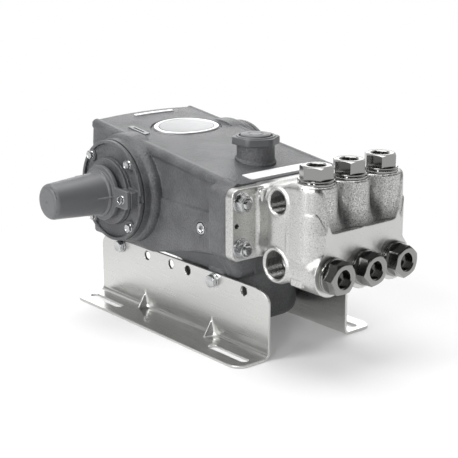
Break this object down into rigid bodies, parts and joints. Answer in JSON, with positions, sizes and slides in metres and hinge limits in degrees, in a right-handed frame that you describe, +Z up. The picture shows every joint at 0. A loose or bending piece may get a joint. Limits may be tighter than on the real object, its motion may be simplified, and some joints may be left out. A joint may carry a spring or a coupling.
{
  "type": "plunger pump",
  "caption": "Triplex plunger pump: painted crankcase with capped shaft end, cast stainless manifold with valve plugs and ports, on two bent sheet rails with slotted feet.",
  "frame": {"origin": "on the floor, midway between the two slots of the left foot; the pump's middle plane is at x = 0.08 m", "axes": "+X across the pump, away from the capped shaft end; -Y towards the manifold; +Z up"},
  "size_m": [0.2852, 0.4065, 0.2202],
  "materials": {
    "case_paint": "satin paint over sand casting",
    "cast_stainless": "glass-bead blasted",
    "turned_stainless": "turned and milled, bright",
    "plated_steel": "zinc plated",
    "shaft_steel": "ground",
    "rail_sheet": "rolled sheet, satin",
    "protector_plastic": "moulded, satin",
    "cap_plastic": "moulded, semi-gloss",
    "gauge_plastic": "clear moulded",
    "plate_metal": "anodised, bare of print",
    "label_film": "bare film",
    "shim": "matt"
  },
  "bodies": {
    "root": {"crankcase": "case_paint", "rear_cover": "case_paint", "rear_cover_screws": "plated_steel", "oil_sight_gauge": "gauge_plastic", "oil_drain_plug": "plated_steel", "filler_neck": "case_paint", "oil_filler_cap": "cap_plastic", "nameplate": "plate_metal", "label_strip": "label_film", "rear_bar": "label_film", "slotted_tag": "plate_metal", "side_plug_left": "plated_steel", "side_plug_right": "plated_steel", "shim_ring_left": "shim", "shim_ring_right": "shim", "bearing_cover_left": "case_paint", "bearing_cover_right": "case_paint", "cover_screws_left": "plated_steel", "cover_screws_right": "plated_steel", "drive_shaft": "shaft_steel", "shaft_protector": "protector_plastic", "protector_screws": "plated_steel", "manifold": "cast_stainless", "manifold_studs": "plated_steel", "manifold_washers": "plated_steel", "manifold_nuts": "plated_steel", "discharge_plug_1": "turned_stainless", "discharge_plug_2": "turned_stainless", "discharge_plug_3": "turned_stainless", "inlet_plug_1": "turned_stainless", "inlet_plug_2": "turned_stainless", "inlet_plug_3": "turned_stainless", "rail_left": "rail_sheet", "rail_right": "rail_sheet", "rail_bolts_left": "plated_steel", "rail_bolts_right": "plated_steel"}
  },
  "joints": []
}
